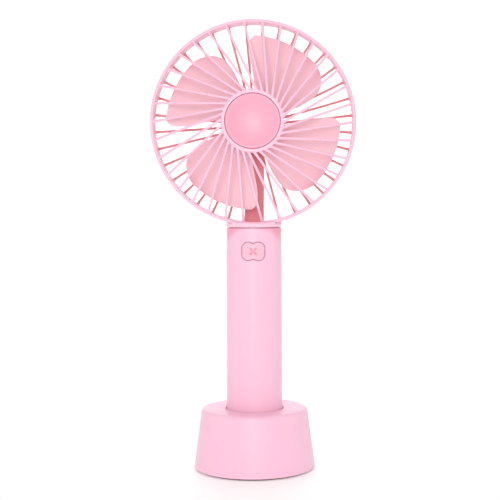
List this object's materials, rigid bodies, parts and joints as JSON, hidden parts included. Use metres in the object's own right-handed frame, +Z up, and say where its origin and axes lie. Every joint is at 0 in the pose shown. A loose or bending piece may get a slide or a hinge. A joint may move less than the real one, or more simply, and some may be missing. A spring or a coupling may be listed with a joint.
{
  "type": "handheld fan",
  "caption": "Battery handheld fan with a round ribbed guard, a plain round handle with a push button, and a weighted desk base it lifts out of.",
  "frame": {"origin": "centre of the base's underside, on the table", "axes": "+Z up along the handle, -Y the way the fan blows, +X to the right seen from the front"},
  "size_m": [0.1, 0.0588, 0.2183],
  "materials": {
    "pink_plastic": "satin moulded",
    "deep_pink_plastic": "satin moulded",
    "foot_rubber": "matte",
    "steel": "nickel plated",
    "copper_alloy": "bright",
    "cell_can": "shrink wrapped",
    "board": "solder mask",
    "black_plastic": "moulded",
    "ferrite": "sintered",
    "led_resin": "moulded",
    "red_insulation": "extruded"
  },
  "bodies": {
    "base": {"base_shell": "pink_plastic", "base_plate": "pink_plastic", "base_weight": "steel", "base_foot_pad": "foot_rubber", "base_screws": "steel"},
    "handset": {"handle_front_shell": "pink_plastic", "handle_rear_shell": "pink_plastic", "handle_screws": "steel", "battery_cell": "cell_can", "battery_terminal": "steel", "positive_contact": "copper_alloy", "negative_strip": "copper_alloy", "main_board": "board", "board_components": "black_plastic", "usb_socket": "steel", "usb_tongue": "black_plastic", "switch_board": "board", "switch_body": "black_plastic", "switch_dome": "steel", "status_leds": "led_resin", "rear_housing": "pink_plastic", "rear_cap": "pink_plastic", "front_grille": "pink_plastic", "hub_cap": "deep_pink_plastic", "motor_can": "steel", "motor_magnets": "ferrite", "motor_end_cap": "led_resin", "motor_front_bushing": "copper_alloy", "motor_rear_bushing": "copper_alloy", "motor_brushes": "copper_alloy", "motor_terminals": "copper_alloy", "motor_screws": "steel", "motor_lead_red": "red_insulation", "motor_lead_black": "black_plastic"},
    "bottom_cap": {"battery_cap": "pink_plastic", "cap_contact": "steel", "cap_spring": "steel"},
    "button": {"power_button": "deep_pink_plastic", "switch_plunger": "black_plastic"},
    "rotor": {"impeller": "deep_pink_plastic", "motor_shaft": "steel", "motor_armature": "steel", "motor_windings": "copper_alloy", "motor_commutator": "copper_alloy"}
  },
  "joints": [
    {"name": "handset_lift", "type": "slide", "parent": "base", "child": "handset", "axis": [0, 0, 1], "range_m": [0, 0.04]},
    {"name": "blade_spin", "type": "hinge", "parent": "handset", "child": "rotor", "pos_m": [0, 0, 0.1683], "axis": [0, 1, 0], "continuous": true},
    {"name": "button_press", "type": "slide", "parent": "handset", "child": "button", "axis": [0, 1, 0], "range_m": [0, 0.0005], "stiffness_N_per_m": 400},
    {"name": "cap_twist", "type": "hinge", "parent": "handset", "child": "bottom_cap", "pos_m": [0, 0, 0.016], "axis": [0, 0, 1], "range_deg": [0, 60]}
  ]
}
